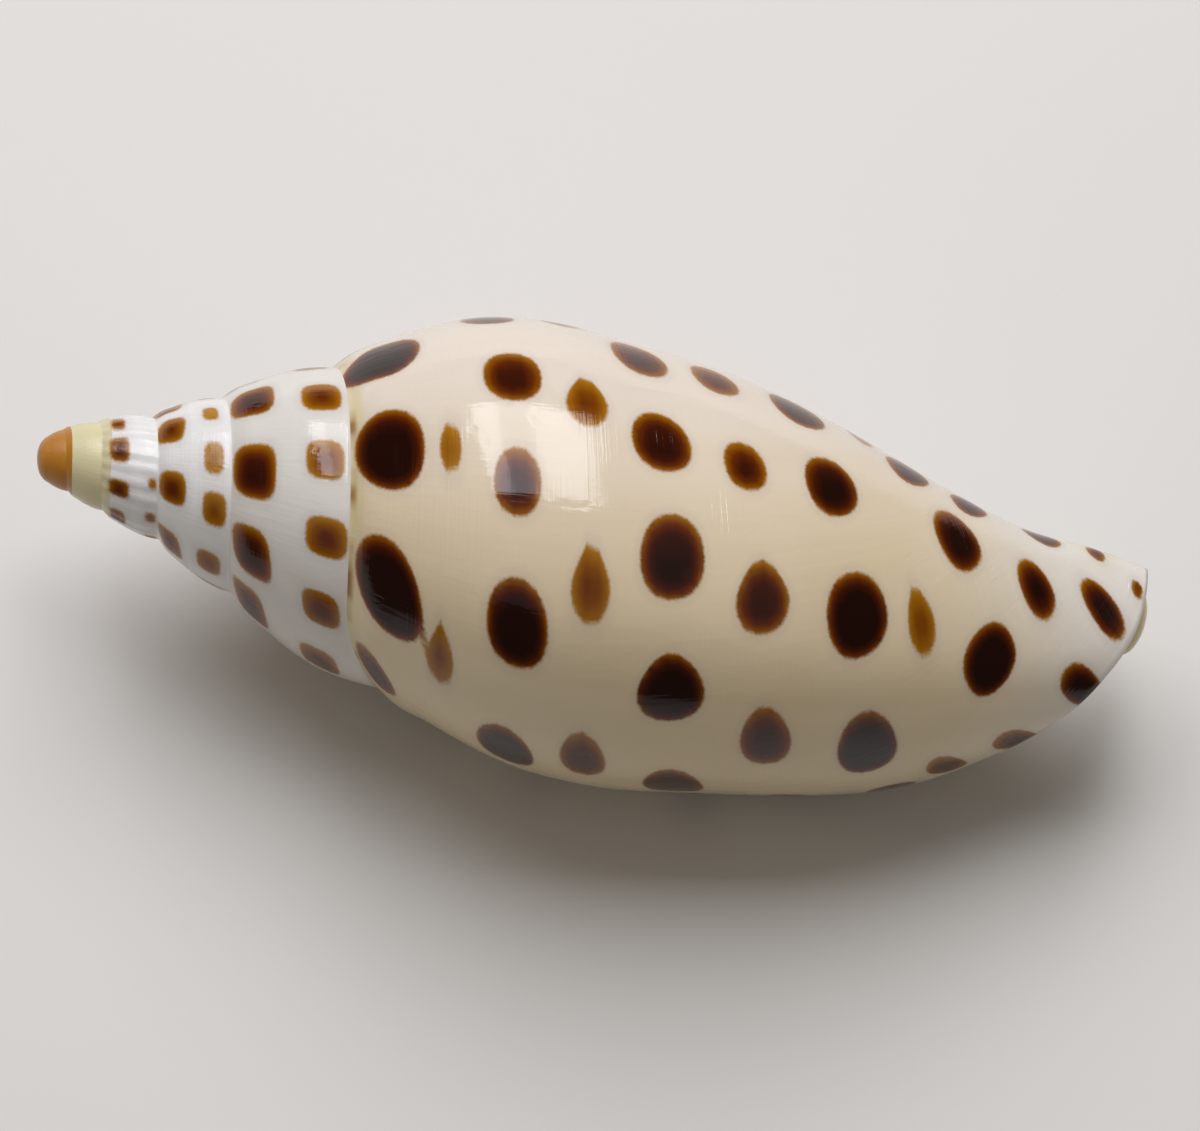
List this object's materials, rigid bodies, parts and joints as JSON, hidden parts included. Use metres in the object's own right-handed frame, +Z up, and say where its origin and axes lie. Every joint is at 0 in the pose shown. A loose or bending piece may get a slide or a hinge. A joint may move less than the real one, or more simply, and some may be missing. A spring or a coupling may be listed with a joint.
{
  "type": "volute shell",
  "caption": "Glossy spotted volute sea shell with a domed apex, stepped spire, long aperture, plaited columella and thin outer lip.",
  "frame": {"origin": "middle of the shell's box in plan, at the surface it lies on", "axes": "+X along the coiling axis from the apex to the front end, +Z up, away from the aperture, -Y towards the outer lip"},
  "size_m": [0.095, 0.038, 0.0357],
  "materials": {
    "shell": "glossy cream shell with rows of dark brown spots, orange dome at the apex"
  },
  "bodies": {
    "root": {"shell": "shell"}
  },
  "joints": []
}
